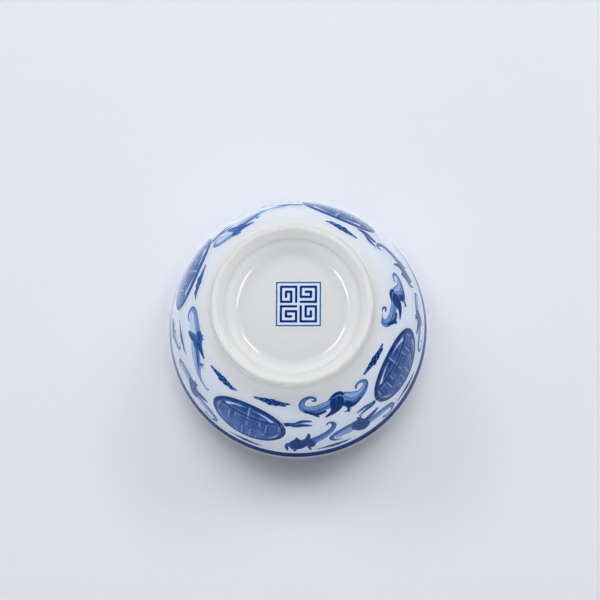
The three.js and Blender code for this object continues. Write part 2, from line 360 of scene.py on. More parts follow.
def cobalt_material(name, grain=0.30):
    """Cobalt painting under the glaze. The mesh attribute says how much pigment lies at a
    point; noise gives it the pooling and the dry patches of a loaded brush."""
    material, nodes, links, shader = new_material(name)
    where = place(nodes, links)
    glaze(shader)
    shader.inputs["Specular IOR Level"].default_value = 0.06
    shader.inputs["Subsurface Weight"].default_value = 0.0
    ink = nodes.new("ShaderNodeAttribute")
    ink.attribute_name = "ink"
    amount = ink.outputs["Fac"]
    blotch = maths(nodes, links, "SUBTRACT", noise(nodes, links, where, 750, 4.0, 0.6), 0.5)
    fine = maths(nodes, links, "SUBTRACT", noise(nodes, links, where, 3200, 2.0), 0.5)
    uneven = maths(nodes, links, "ADD", blotch, maths(nodes, links, "MULTIPLY", fine, 0.6))
    strength = maths(nodes, links, "MULTIPLY", uneven, grain * 2)
    swing = maths(nodes, links, "MULTIPLY", strength, amount)
    total = maths(nodes, links, "ADD", amount, swing, clamp=True)
    pigment = ramp(nodes, links, total, COBALT_STOPS)
    cover = maths(nodes, links, "MULTIPLY", total, 5.0, clamp=True)
    bare = porcelain_color(nodes, links, where)
    links.new(mix(nodes, links, cover, bare, pigment), shader.inputs["Base Color"])
    glaze_bump(nodes, links, where, shader)
    return material


# ---- the body: bowl and foot ring ------------------------------------------------------
def foot_fillet():
    """The soft hollow between the foot's outside and the bowl, as points below and above
    the seam; both lists hold the seam's own point."""
    low = np.array((FOOT_RADIUS - FOOT_FLARE, FILLET_LOW))
    high = bezier(WALL, FILLET_SHARE)
    run = bezier(WALL, FILLET_SHARE - 0.01) - high
    run = run / np.linalg.norm(run)
    controls = np.array([low, low + FILLET_RISE, high - run * FILLET_RUN, high])
    curve = bezier(controls, np.linspace(0, 1, 26))
    seam = np.array((np.interp(SEAM_HEIGHT, curve[:, 1], curve[:, 0]), SEAM_HEIGHT))
    below = curve[curve[:, 1] < SEAM_HEIGHT - 0.02]
    above = curve[curve[:, 1] > SEAM_HEIGHT + 0.02]
    return np.vstack([below, seam]), np.vstack([seam, above])


def bowl_section():
    base = [(0.0, RECESS_DEPTH)]
    flat = [(r, RECESS_DEPTH) for r in np.linspace(0.6, RECESS_RADIUS - 0.3, 24)]
    slope = bezier(RECESS, np.linspace(1, SEAM_SHARE, 30))
    fillet = foot_fillet()[1]
    wall = bezier(WALL, np.linspace(FILLET_SHARE, LIP_SHARE, 150)[1:])
    half = LIP_THICKNESS / 2
    lip = arc((RIM_RADIUS - half, HEIGHT - LIP_DROP), (half, LIP_DROP), 0, 180, 14)[1:-1]
    share = np.linspace(LIP_SHARE, INNER_END, 90)
    thickness = LIP_THICKNESS + (WALL_THICKNESS - LIP_THICKNESS) * share
    inside = bezier(WALL, share) - bezier_normal(WALL, share) * thickness[:, None]
    last, before = inside[-1], inside[-2]
    run = (last - before) / np.linalg.norm(last - before)
    floor = bezier(np.array([last, last + run * 4.2, (9.0, FLOOR_HEIGHT), (0.0, FLOOR_HEIGHT)]),
                   np.linspace(0, 1, 40))[1:]
    return np.vstack([base, flat, slope, fillet, wall, lip, inside, floor])


def foot_section():
    edge = FOOT_EDGE_RADIUS
    slope = bezier(RECESS, np.linspace(SEAM_SHARE, 0.04, 26))
    crest_in = arc((edge - FOOT_EDGE_HALF, 0.42), (edge - FOOT_EDGE_HALF - slope[-1][0], 0.42), 200, 270, 7)
    crest_out = arc((edge + FOOT_EDGE_HALF, FILLET_LOW),
                    (FOOT_RADIUS - FOOT_FLARE - edge - FOOT_EDGE_HALF, FILLET_LOW), 270, 360, 14)
    return np.vstack([slope, crest_in, crest_out, foot_fillet()[0][1:]])


def make_body(material):
    bowl = lathe("cup_bowl", bowl_section(), material)
    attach(bowl, "root")
    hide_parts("bowl")
    foot = lathe("cup_foot_ring", foot_section(), material)
    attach(foot, "root")
    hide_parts("foot_ring")


# ---- painting --------------------------------------------------------------------------
def flowing(points, count=60):
    """A smooth run through the given points; every column is carried along."""
    points = np.asarray(points, float)
    padded = np.vstack([2 * points[0] - points[1], points, 2 * points[-1] - points[-2]])
    out = []
    for t in np.linspace(0, len(points) - 1, count):
        i = min(int(t), len(points) - 2)
        u = t - i
        a, b, c, d = padded[i:i + 4]
        out.append(0.5 * ((2 * b) + (c - a) * u + (2 * a - 5 * b + 4 * c - d) * u * u
                          + (3 * b - a - 3 * c + d) * u ** 3))
    return np.array(out)


HAIR_DEPTH = 0.20               # how much paler the bristle streaks are


class Canvas:
    """A grid in millimetres, x to the right and y towards the foot, and the pigment on it."""

    def __init__(self, half_width, half_height, step=PAINT_STEP):
        self.columns = int(math.ceil(half_width / step)) * 2 + 1
        self.rows = int(math.ceil(half_height / step)) * 2 + 1
        xs = (np.arange(self.columns) - self.columns // 2) * step
        ys = (np.arange(self.rows) - self.rows // 2) * step
        self.x, self.y = np.meshgrid(xs, ys)
        self.ink = np.zeros_like(self.x)

    def lay(self, cover, tone):
        self.ink = self.ink * (1 - cover) + tone * cover

    def stroke(self, points, tones=(0.8, 0.8), edge=None, gap=None, hairs=0, soft=0.16):
        """A brush stroke through (x, y, half width) points. tones are its left and right
        sides, seen along the stroke; edge is the tone of an outline, gap of the paler line
        inside it, and hairs the number of bristle streaks across the stroke."""
        run = flowing(points, max(24, 12 * len(points)))
        run[:, 2] = np.maximum(run[:, 2], 0.05)
        heading = np.gradient(run[:, :2], axis=0)
        heading /= np.linalg.norm(heading, axis=1, keepdims=True) + 1e-9
        dx = self.x[..., None] - run[:, 0]
        dy = self.y[..., None] - run[:, 1]
        distance = np.hypot(dx, dy)
        nearest = (distance - run[:, 2]).argmin(-1)
        pick = nearest[..., None]
        near = np.take_along_axis(distance, pick, -1)[..., 0]
        side = (np.take_along_axis(dx, pick, -1)[..., 0] * -heading[nearest, 1]
                + np.take_along_axis(dy, pick, -1)[..., 0] * heading[nearest, 0])
        width = run[nearest, 2]
        across = np.clip(side / width, -1, 1)
        depth = width - near
        tone = tones[1] + (tones[0] - tones[1]) * (across + 1) / 2
        if hairs:
            fade = np.clip(width / 0.9 - 0.3, 0, 1)
            tone = tone - HAIR_DEPTH * fade * (0.5 + 0.5 * np.cos(math.pi * hairs * across + 1.3)) ** 3
        if gap is not None:
            inside = np.clip((depth - 0.14) / soft, 0, 1) * np.clip((0.52 - depth) / soft, 0, 1)
            inside *= np.clip(width / 0.45 - 0.9, 0, 1)
            tone = tone * (1 - inside) + gap * inside
        if edge is not None:
            line = np.clip((0.2 - depth) / soft + 0.5, 0, 1)
            tone = tone * (1 - line) + edge * line
        self.lay(np.clip(depth / soft + 0.5, 0, 1), tone)

    def line(self, points, width, tone, soft=0.14):
        """A thin straight-sided line through (x, y) points."""
        points = np.asarray(points, float)
        cover = np.zeros_like(self.x)
        for start, end in zip(points[:-1], points[1:]):
            span = end - start
            along = ((self.x - start[0]) * span[0] + (self.y - start[1]) * span[1]) / (span @ span)
            along = np.clip(along, 0, 1)
            away = np.hypot(self.x - start[0] - along * span[0], self.y - start[1] - along * span[1])
            cover = np.maximum(cover, np.clip((width / 2 - away) / soft + 0.5, 0, 1))
        self.lay(cover, tone)

    def ring(self, inner, outer, tone, start=-180, end=180, soft=0.16):
        radius = np.hypot(self.x, self.y)
        turn = np.degrees(np.arctan2(self.y, self.x))
        inside = ((turn - start) % 360) <= (end - start)
        cover = np.clip((outer - radius) / soft + 0.5, 0, 1) * np.clip((radius - inner) / soft + 0.5, 0, 1)
        self.lay(cover * inside, tone)


def paint_medallion(canvas):
    """A dark roundel: a fret of light lines, mirrored left to right, inside a double ring."""
    rim = MEDALLION_RADIUS
    canvas.ring(0, rim, 0.86)
    canvas.ink -= 0.13 * (0.5 + 0.5 * np.sin(canvas.x * 2.1 + 0.6)) * (canvas.ink > 0.5)
    canvas.ink -= 0.10 * np.clip((2.0 - canvas.y) / 9, 0, 1) * (canvas.ink > 0.5)
    canvas.ring(rim - 1.0, rim, 0.98)
    for start, end in ((-75, 40), (140, 255)):
        canvas.ring(rim - 1.35, rim - 1.15, 0.50, start, end)
    canvas.line([(0, 7.9), (0, 3.0)], 0.34, 0.26)
    canvas.line([(-6.2, 4.9), (6.2, 4.9)], 0.24, 0.40)
    canvas.line([(-6.6, 3.9), (6.6, 3.9)], 0.5, 0.98)
    canvas.line([(-2.9, 3.1), (2.9, 3.1)], 0.20, 0.42)
    canvas.line([(0, 1.3), (0, -0.8)], 0.28, 0.30)
    canvas.line([(-3.4, -1.6), (3.4, -1.6)], 0.18, 0.52)
    canvas.line([(-3.9, 0.5), (-1.2, 0.5)], 0.16, 0.55)
    canvas.line([(1.2, 0.5), (3.9, 0.5)], 0.16, 0.55)
    for side in (1, -1):
        crescent = [(side * 7.45 * math.cos(math.radians(a)), 7.45 * math.sin(math.radians(a)),
                     0.07 + 0.40 * (84 - a) / 45) for a in (41, 50, 60, 72, 84)]
        canvas.stroke(crescent, (0.12, 0.16))
        cheek = [(side * 7.8 * math.cos(math.radians(a)), 7.8 * math.sin(math.radians(a)), w)
                 for a, w in ((-12, 0.10), (-22, 0.22), (-34, 0.17), (-44, 0.08))]
        canvas.stroke(cheek, (0.25, 0.25))
        canvas.line([(side * 7.7, 0.2), (side * 7.6, 2.7), (side * 4.7, 2.7), (side * 4.7, -2.0)], 0.26,
                    0.32)
        canvas.line([(side * 6.8, 0.4), (side * 6.7, 1.8), (side * 5.6, 1.8), (side * 5.6, -0.8)], 0.16,
                    0.55)
        canvas.line([(side * 3.1, 3.1), (side * 3.1, 0.9)], 0.26, 0.34)
        canvas.line([(side * 2.1, 2.3), (side * 2.1, 1.2), (side * 0.9, 1.2)], 0.16, 0.55)
        canvas.line([(side * 1.0, -8.0), (side * 1.0, -3.0), (side * 4.5, -3.0), (side * 4.4, -3.8),
                     (side * 2.6, -5.8), (side * 2.4, -7.2)], 0.24, 0.33)
        canvas.line([(side * 6.2, -2.6), (side * 5.6, -4.4), (side * 4.2, -6.0)], 0.16, 0.52)
        canvas.line([(side * 2.0, -3.9), (side * 2.0, -5.0)], 0.16, 0.52)
    canvas.ring(rim - 0.03, rim + 0.5, 0.0)


def paint_spread_bat(canvas):
    """Wings spread, their tips rolled up towards the foot."""
    canvas.stroke([(-0.6, 1.6, 1.1), (-2.6, 1.2, 1.3), (-4.8, 0.9, 1.3), (-6.6, 1.2, 1.25),
                   (-7.6, 2.3, 0.85), (-7.3, 3.7, 0.55), (-6.3, 4.7, 0.42), (-5.0, 5.0, 0.34),
                   (-4.1, 4.4, 0.28), (-4.3, 3.7, 0.24), (-4.9, 3.9, 0.18)], (0.80, 0.20), edge=0.80,
                  gap=0.22, hairs=3)
    canvas.stroke([(-7.3, 0.9, 0.3), (-6.0, -0.3, 0.5), (-4.6, -0.9, 0.45), (-3.2, -0.6, 0.4)],
                  (0.95, 0.85))
    canvas.stroke([(-5.4, -1.0, 0.5), (-4.9, -2.1, 0.15)], (0.92, 0.92))
    canvas.stroke([(2.2, 1.5, 1.35), (3.3, -0.5, 2.2), (5.2, -1.1, 1.75), (7.1, -0.4, 1.2),
                   (8.1, 0.8, 0.65), (7.7, 2.0, 0.42), (6.7, 2.5, 0.36), (5.7, 2.3, 0.30),
                   (5.5, 1.6, 0.22)], (0.12, 0.80), edge=0.74, gap=0.30, hairs=4)
    canvas.stroke([(2.3, -0.8, 0.6), (3.0, -2.6, 0.85), (4.4, -2.9, 0.5), (5.6, -2.4, 0.25)], (0.92, 0.97))
    canvas.stroke([(1.2, 2.9, 0.9), (0.3, 1.4, 1.6), (-0.2, -0.4, 1.5), (-1.2, -1.7, 0.95),
                   (-3.3, -2.8, 0.3)], (0.97, 0.97), hairs=3)
    canvas.stroke([(-1.3, 2.7, 0.15), (0.2, 3.6, 0.3), (1.6, 3.4, 0.35), (2.3, 2.4, 0.2)], (0.93, 0.93))
    canvas.stroke([(-0.2, 2.6, 0.12), (1.1, 2.8, 0.16), (2.0, 1.8, 0.16), (2.0, 0.4, 0.12)], (0.28, 0.28))
    canvas.stroke([(1.4, -0.6, 0.3), (2.1, -2.6, 0.28), (2.0, -4.0, 0.3), (2.0, -5.1, 0.1)], (0.88, 0.88))
    canvas.stroke([(2.6, -4.0, 0.15), (1.9, -4.0, 0.35), (1.1, -4.0, 0.2)], (0.9, 0.9))


def paint_diving_bat(canvas):
    """In a dive: one wing folded into a loop, the other trailing long and thin."""
    canvas.stroke([(0.4, -1.4, 1.5), (2.4, -2.6, 1.75), (4.4, -4.1, 1.5), (6.2, -5.9, 1.05),
                   (7.8, -7.3, 0.62), (9.4, -8.1, 0.42), (10.7, -8.3, 0.36), (11.2, -7.6, 0.26)],
                  (0.78, 0.25), edge=0.70, gap=0.32, hairs=4)
    canvas.stroke([(-0.6, -1.2, 1.0), (-2.6, -0.8, 1.5), (-4.8, -0.4, 1.5), (-6.3, -0.4, 1.0)], (0.26, 0.2))
    canvas.stroke([(-0.9, 1.1, 1.0), (-3.6, 1.2, 0.8), (-6.0, 0.9, 0.65), (-7.3, -0.2, 0.5),
                   (-7.2, -1.5, 0.36), (-6.2, -2.3, 0.34), (-5.0, -2.2, 0.24)], (0.35, 0.88), edge=0.80,
                  gap=0.30, hairs=2)
    canvas.stroke([(-0.6, 1.2, 1.0), (0.4, 0.1, 1.5), (0.9, -1.0, 1.3)], (0.95, 0.9), hairs=3)
    canvas.stroke([(-0.4, -0.6, 1.0), (-1.4, -2.0, 0.95), (-2.6, -3.0, 0.4)], (0.88, 0.72))
    canvas.stroke([(-0.2, 2.5, 0.14), (0.2, 1.8, 0.35), (0.9, 2.3, 0.13)], (0.8, 0.8))
    canvas.stroke([(1.2, 0.4, 0.8), (2.9, -0.1, 0.62), (4.5, -0.4, 0.3)], (0.94, 0.9))
    canvas.stroke([(5.9, -1.8, 0.15), (5.4, -3.0, 0.36), (6.6, -2.7, 0.12)], (0.72, 0.72))
    canvas.stroke([(1.6, -1.3, 0.3), (3.8, -2.9, 0.35), (5.9, -5.0, 0.22)], (0.9, 0.8))


def paint_hanging_bat(canvas):
    """Both wings rolled in towards the lip."""
    canvas.stroke([(-1.6, 0.8, 1.5), (-3.8, 0.6, 1.7), (-5.8, 0.4, 1.4), (-6.8, -0.8, 0.7)], (0.22, 0.22))
    canvas.stroke([(-1.0, 3.4, 1.2), (-3.6, 3.5, 1.05), (-6.2, 2.8, 0.85), (-8.0, 1.0, 0.65),
                   (-8.3, -0.9, 0.5), (-7.5, -2.5, 0.38), (-6.3, -2.8, 0.28)], (0.30, 0.82), edge=0.78,
                  gap=0.30, hairs=2)
    canvas.stroke([(1.6, -1.2, 1.7), (4.3, -1.5, 1.7), (6.5, -2.2, 1.3), (8.0, -3.7, 0.8),
                   (8.4, -5.4, 0.52), (7.4, -6.9, 0.4), (5.9, -7.0, 0.34), (5.0, -6.2, 0.26),
                   (5.5, -5.5, 0.18)], (0.62, 0.20), edge=0.72, gap=0.28, hairs=4)
    canvas.stroke([(-1.6, 3.6, 1.0), (-1.0, 1.2, 2.0), (-0.3, -2.2, 1.7), (-0.2, -3.8, 0.7)],
                  (0.88, 0.80), hairs=3)
    canvas.stroke([(0.4, 1.0, 1.0), (2.4, 1.9, 1.15), (4.2, 2.7, 0.5)], (0.93, 0.88), hairs=2)
    canvas.stroke([(-1.0, 6.0, 0.15), (-0.5, 4.9, 0.4), (0.3, 5.9, 0.13)], (0.75, 0.75))
    canvas.stroke([(-0.5, 5.0, 0.35), (-0.4, 3.6, 0.45)], (0.85, 0.85))


def paint_climbing_bat(canvas):
    """One wing raised into a hook towards the foot."""
    canvas.stroke([(0.9, 0.2, 2.1), (3.0, 1.6, 1.9), (5.2, 3.6, 1.45), (7.0, 5.8, 1.0), (8.0, 8.0, 0.6),
                   (7.7, 9.8, 0.42), (6.9, 10.5, 0.32), (6.3, 9.8, 0.22)], (0.78, 0.28), edge=0.74,
                  gap=0.32, hairs=4)
    canvas.stroke([(-0.9, 2.6, 0.9), (-0.9, 0.2, 2.1), (-1.1, -2.2, 1.9), (-1.7, -3.6, 1.1)],
                  (0.96, 0.93), hairs=3)
    canvas.stroke([(1.3, 2.4, 1.1), (1.9, -0.4, 1.5), (2.3, -2.6, 0.7)], (0.80, 0.93), hairs=2)
    canvas.stroke([(-1.0, 4.5, 0.2), (-0.9, 2.8, 0.65)], (0.95, 0.95))
    canvas.stroke([(1.9, 6.8, 0.15), (1.8, 4.8, 0.5), (1.4, 3.0, 0.6)], (0.9, 0.9))
    canvas.stroke([(-3.3, 0.2, 0.35), (-3.7, -2.6, 0.45), (-3.6, -5.6, 0.2)], (0.78, 0.6))
    canvas.stroke([(1.6, -2.8, 0.4), (1.9, -5.6, 0.2)], (0.78, 0.55))
    canvas.stroke([(-1.8, -4.0, 0.6), (-1.9, -6.2, 0.25)], (0.72, 0.5))


def paint_cloud(canvas):
    """A short ribbon cloud with lobes along it, dotted with light."""
    canvas.stroke([(-4.0, -0.1, 0.26), (-3.2, 0.0, 0.36), (-1.6, 0.1, 0.62), (0.4, 0.05, 0.8),
                   (2.2, 0.0, 0.55), (3.3, 0.05, 0.34), (4.0, 0.1, 0.2)], (0.93, 0.93))
    for x, y, r in ((-1.3, 0.45, 0.42), (0.1, 0.6, 0.45), (1.4, 0.35, 0.42), (-0.5, -0.55, 0.42),
                    (0.9, -0.5, 0.38)):
        canvas.stroke([(x - 0.2, y, r), (x + 0.2, y, r)], (0.96, 0.96))
    canvas.stroke([(2.2, -0.45, 0.24), (3.2, -0.6, 0.14)], (0.9, 0.9))
    for x, y in ((-3.1, 0.0), (-1.8, 0.2), (-0.9, -0.15), (-0.1, 0.45), (0.5, -0.25), (1.2, 0.25),
                 (2.1, -0.05), (3.1, 0.1)):
        canvas.stroke([(x - 0.16, y - 0.05, 0.11), (x + 0.16, y + 0.05, 0.11)], (0.42, 0.42))


def paint_tassel(canvas):
    """A ribbon: a knot with two waving tails."""
    canvas.stroke([(-1.7, 0.15, 0.50), (-0.3, -0.55, 0.46), (1.0, -0.35, 0.56), (2.7, -0.85, 0.20)],
                  (0.94, 0.74))
    canvas.stroke([(-1.7, 0.2, 0.46), (-0.2, 0.42, 0.40), (1.2, 1.05, 0.50), (2.8, 0.75, 0.20)],
                  (0.88, 0.66))
    canvas.stroke([(-2.7, 0.5, 0.24), (-2.3, -0.3, 0.62), (-1.5, 0.3, 0.48)], (0.96, 0.90))


def painted_reflection_fade(spots):
    """Painted reflection: the wall's painting is paler towards the painted-reflection azimuth, standing in
    for the bright table mirrored in the glaze at grazing angles.
    """
    radius = np.hypot(spots[:, 0], spots[:, 1])
    towards = 0.5 + 0.5 * np.cos(np.arctan2(spots[:, 1], spots[:, 0]) - math.radians(PAINTED_REFLECTION_AZIMUTH))
    return 1 - PAINTED_REFLECTION_SHARE * towards * (radius > RECESS_RADIUS)


def patch(name, canvas, onto, material, nodes):
    """The painted part of a canvas as one thin closed body. onto places its points and gives
    the surface's normal there."""
    painted = canvas.ink > LEAST_INK
    grown = painted.copy()
    for shift in (-1, 1):
        for axis in (0, 1):
            grown |= np.roll(painted, shift, axis)
    cells = grown[:-1, :-1] | grown[1:, :-1] | grown[:-1, 1:] | grown[1:, 1:]
    inner = cells[1:-1, 1:-1].copy()
    cells[:] = False
    cells[1:-1, 1:-1] = inner
    index = np.full(canvas.x.shape, -1)
    used = np.zeros_like(painted)
    for row in (0, 1):
        for column in (0, 1):
            used[row:row + cells.shape[0], column:column + cells.shape[1]] |= cells
    count = int(used.sum())
    index[used] = np.arange(count)
    spots, normals = onto(canvas.x[used], canvas.y[used])
    top = spots + normals * PAINT_LIFT
    bottom = spots + normals * PAINT_ROOT
    rows, columns = np.nonzero(cells)
    quads = np.stack([index[rows, columns], index[rows, columns + 1], index[rows + 1, columns + 1],
                      index[rows + 1, columns]], -1)
    probe = spots[quads[0]]
    facing = np.cross(probe[1] - probe[0], probe[3] - probe[0]) @ normals[quads[0][0]]
    if facing < 0:
        quads = quads[:, ::-1]
    edges = {}
    for quad in quads:
        for a, b in zip(quad, np.roll(quad, -1)):
            edges[(int(a), int(b))] = True
    sides = [(b, a, a + count, b + count) for a, b in edges if (b, a) not in edges]
    faces = [tuple(q) for q in quads] + [tuple(q[::-1] + count) for q in quads] + sides
    piece = make_mesh(name, np.vstack([top, bottom]) * MM, faces, [material])
    ink = piece.data.attributes.new("ink", "FLOAT", "POINT")
    # The ink is paled on one side of the wall as a painted reflection.
    ink.data.foreach_set("value", np.tile(canvas.ink[used] * painted_reflection_fade(spots), 2).astype(np.float32))
    shade = np.vstack([normals, normals])
    piece.data.normals_split_custom_set_from_vertices([tuple(n) for n in shade])
    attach(piece, "root")
    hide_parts(*nodes)
    return piece


def onto_wall(azimuth_degrees, drop, turn_degrees=0.0, scale=1.0):
    """Lays motif coordinates on the wall. A negative scale mirrors left to right."""
    azimuth, turn = math.radians(azimuth_degrees), math.radians(turn_degrees)

    def place_points(x, y):
        sized_x, sized_y = x * scale, y * abs(scale)
        turned_x = sized_x * math.cos(turn) - sized_y * math.sin(turn)
        turned_y = sized_x * math.sin(turn) + sized_y * math.cos(turn)
        section, normal = wall_at(drop + turned_y)
        around = azimuth - turned_x / section[:, 0]
        cos, sin = np.cos(around), np.sin(around)
        spots = np.stack([section[:, 0] * cos, section[:, 0] * sin, section[:, 1]], -1)
        normals = np.stack([normal[:, 0] * cos, normal[:, 0] * sin, normal[:, 1]], -1)
        return spots, normals

    return place_points


# kind, painter, half sizes of its canvas, dryness of the brush (1 leaves the tones as drawn),
# then azimuth, distance from the lip, turn and scale of each one
BATS = [
    ("spread", paint_spread_bat, (9.6, 6.0), 0.88, [(65, 27.9, 0, 1), (355, 27.7, -26, 0.88)]),
    ("diving", paint_diving_bat, (12.2, 9.4), 1.12, [(163, 29.5, 0, 1), (235, 29.8, -15, -0.9)]),
    ("hanging", paint_hanging_bat, (9.8, 8.2), 0.70,
     [(56.3, 11.8, 0, 1), (145.3, 12, 0, 0.95), (240, 12, 0, 0.95), (359.5, 11.2, 0, -0.78)]),
    ("climbing", paint_climbing_bat, (9.2, 11.6), 0.70,
     [(87.1, 11.5, 0, 1), (177, 10.2, 0, 0.7), (268, 11.5, 0, 0.9), (337, 17.2, 0, 0.9)]),
]
# azimuth and distance from the lip
CLOUDS = [
    (32, 31.2), (102.5, 31.3), (135, 30.1), (197, 30), (300.4, 31.3),
    (29.4, 5.9), (72.4, 6), (113.6, 6.1), (168.9, 20.5), (203, 6), (293, 6),
]
# azimuth, distance from the lip and scale, negative when mirrored
TASSELS = [
    (88.5, 23.6, 1.25), (49.8, 19.2, -1.25), (313, 26.4, -1.25), (266, 23.4, 1.25), (227, 24.4, -1.25),
]


def make_motifs(material):
    for i, azimuth in enumerate(MEDALLION_AZIMUTHS, 1):
        canvas = Canvas(MEDALLION_RADIUS + 0.5, MEDALLION_RADIUS + 0.5)
        paint_medallion(canvas)
        patch(f"painted_medallion_{i}", canvas, onto_wall(azimuth, MEDALLION_DROP), material,
              [f"medallion_{i}"])
    for kind, paint, half_sizes, dryness, places in BATS:
        canvas = Canvas(*half_sizes)
        paint(canvas)
        canvas.ink = np.clip(canvas.ink, 0, 1) ** dryness
        for i, spot in enumerate(places, 1):
            patch(f"painted_bat_{kind}_{i}", canvas, onto_wall(*spot), material, [f"bat_{kind}_{i}"])
    canvas = Canvas(4.4, 1.6)
    paint_cloud(canvas)
    for i, (azimuth, drop) in enumerate(CLOUDS, 1):
        patch(f"painted_cloud_{i}", canvas, onto_wall(azimuth, drop), material, [f"cloud_{i}"])
    canvas = Canvas(3.0, 1.8)
    paint_tassel(canvas)
    for i, (azimuth, drop, scale) in enumerate(TASSELS, 1):
        patch(f"painted_tassel_{i}", canvas, onto_wall(azimuth, drop, 0, scale), material, [f"tassel_{i}"])


# ---- the band round the lip ------------------------------------------------------------
def make_rim_band(material):
    """A closed skin round the wall, darkest near the lip, ending in a soft brush line, and
    paler opposite azimuth 90 as a painted reflection of the table in the glaze."""
    fade = RIM_BAND_HEIGHT + 0.3
    drops = np.concatenate([np.linspace(0.35, RIM_BAND_HEIGHT, 16), [RIM_BAND_HEIGHT + 0.1, fade]])
    tones = np.interp(drops, [0.35, 0.9, 3.0, RIM_BAND_HEIGHT + 0.1, fade], [0.9, 1.0, 0.95, 0.85, 0.0])
    section, normal = wall_at(drops)
    top = section + normal * PAINT_LIFT
    bottom = section + normal * PAINT_ROOT
    loop = np.vstack([top[::-1], bottom])
    band = lathe("painted_rim_band", loop, material)
    ink = band.data.attributes.new("ink", "FLOAT", "POINT")
    azimuth = 2 * np.pi * np.arange(TURNS) / TURNS
    # Painted reflection: the band's ink is faded away from azimuth 90.
    load = 1 - BAND_PAINTED_REFLECTION_SHARE * (0.5 - 0.5 * np.sin(azimuth))
    values = np.outer(np.concatenate([tones[::-1], tones]), load)
    ink.data.foreach_set("value", values.ravel().astype(np.float32))
    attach(band, "root")
    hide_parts("rim_band")


# ---- the square mark inside the foot ---------------------------------------------------
MARK_CENTRE = (1.25, -0.95)
MARK_SIDE = 10.2
MARK_CELL = 3.9


def onto_recess(x_offset, y_offset, lift):
    """Lays a canvas on the recess floor, seen from below."""
    def place_points(x, y):
        spots = np.stack([MARK_CENTRE[0] + x_offset + x, MARK_CENTRE[1] + y_offset + y,
                          np.full_like(x, RECESS_DEPTH - lift)], -1)
        return spots, np.tile((0.0, 0.0, -1.0), (len(x), 1))
    return place_points


def paint_mark_ground(canvas):
    """A square outline round a faint wash."""
    half = MARK_SIDE / 2
    reach = np.maximum(abs(canvas.x), abs(canvas.y))
    canvas.lay(np.clip((half + 0.5 - reach) / 0.9, 0, 1), 0.05)
    canvas.lay(np.clip((half - reach) / 0.12 + 0.5, 0, 1), 0.9)
    canvas.lay(np.clip((half - 0.26 - reach) / 0.12 + 0.5, 0, 1), 0.08)


def paint_mark_block(canvas, quarter_turns):
    """A square meander, turned by quarters: a plain fret, no writing."""
    h = MARK_CELL / 2 - 0.2
    meander = np.array([(-h, -h), (-h, h), (h, h), (h, -h), (-h / 3, -h), (-h / 3, h / 3), (h / 3, h / 3),
                        (h / 3, -h / 3)])
    for _ in range(quarter_turns):
        meander = np.stack([-meander[:, 1], meander[:, 0]], -1)
    canvas.line(meander, 0.56, 1.0)


def make_mark(material):
    ground = Canvas(MARK_SIDE / 2 + 1.2, MARK_SIDE / 2 + 1.2, 0.1)
    paint_mark_ground(ground)
    patch("painted_mark_frame", ground, onto_recess(0, 0, 0), material, ["mark_frame"])
    for i in range(4):
        canvas = Canvas(MARK_CELL / 2 + 0.08, MARK_CELL / 2 + 0.08, 0.08)
        paint_mark_block(canvas, i)
        canvas.ink = np.maximum(canvas.ink, 0.08)
        x = MARK_CELL / 2 + 0.3
        place_block = onto_recess(x * (1 if i in (0, 3) else -1), x * (1 if i < 2 else -1), 0.03)
        patch(f"painted_mark_block_{i + 1}", canvas, place_block, material, [f"mark_block_{i + 1}"])


# ---- stage, lights and camera ----------------------------------------------------------
# name, azimuth, elevation, distance in metres, size in metres, irradiance
SHADING_BOXES = [
    ("top_box", 90, 59, 1.6, (0.8, 0.55), 1.42),
    ("left_box", 132, 44, 1.5, (0.7, 0.3), 0.56),
    ("right_box", 48, 44, 1.5, (0.7, 0.3), 0.56),
]
# name, azimuth, elevation, length in metres
GLINT_BOXES = [
    ("left_glint", 192, 52, 0.8),
    ("left_low_glint", 133, 50, 0.5),
    ("right_glint", -11, 54, 0.8),
    ("right_low_glint", 52, 45, 0.45),
]
GLINT_HEIGHT = 0.4
GLINT_DISTANCE = 1.5
GLINT_STRENGTH = 1.9            # irradiance for each metre of length
# name, azimuth, irradiance
REFLECTOR_CARDS = [
    ("low_card", 270, 1.4),
    ("left_card", 180, 0.85),
    ("right_card", 0, 0.85),
]
CARD_ELEVATION = 28
CARD_DISTANCE = 1.5
CARD_SIZE = (2.2, 1.0)
SUN_STRENGTH = 2.3
SUN_SPREAD = 30                 # degrees, wide enough for soft shadows
SUN_DIRECTION = (0.15, 0.3, -1.0)
WORLD_COLOR = (0.95, 0.97, 1.0)
WORLD_STRENGTH = 0.27

CAMERA_LENS = 138.1
CAMERA_PLACE = (20.41, 83.76, -509.76)      # millimetres
CAMERA_RIGHT = (0.99935, -0.00588, 0.03544)
CAMERA_UP = (0.0, -0.98651, -0.16368)

TABLE_HALF = 4.3                # metres
TABLE_COLOR = (0.80, 0.81, 0.84)
BACKING_HALF = 0.11             # metres, the sheet that the lip touches
BACKING_COLOR = (0.88, 0.895, 0.93)
HORIZON_RADIUS = 4.2            # metres
HORIZON_COLOR = (0.76, 0.775, 0.81)


def one_sided(name, color):
    """A matt sheet that is only there from its front."""
    material, nodes, links, shader = new_material(name)
    shader.inputs["Base Color"].default_value = (*color, 1)
    shader.inputs["Roughness"].default_value = 0.9
    shader.inputs["Specular IOR Level"].default_value = 0.0
    side = nodes.new("ShaderNodeNewGeometry")
    clear = nodes.new("ShaderNodeBsdfTransparent")
    blend = nodes.new("ShaderNodeMixShader")
    links.new(side.outputs["Backfacing"], blend.inputs[0])
    links.new(shader.outputs[0], blend.inputs[1])
    links.new(clear.outputs[0], blend.inputs[2])
    links.new(blend.outputs[0], nodes["Material Output"].inputs["Surface"])
    return material


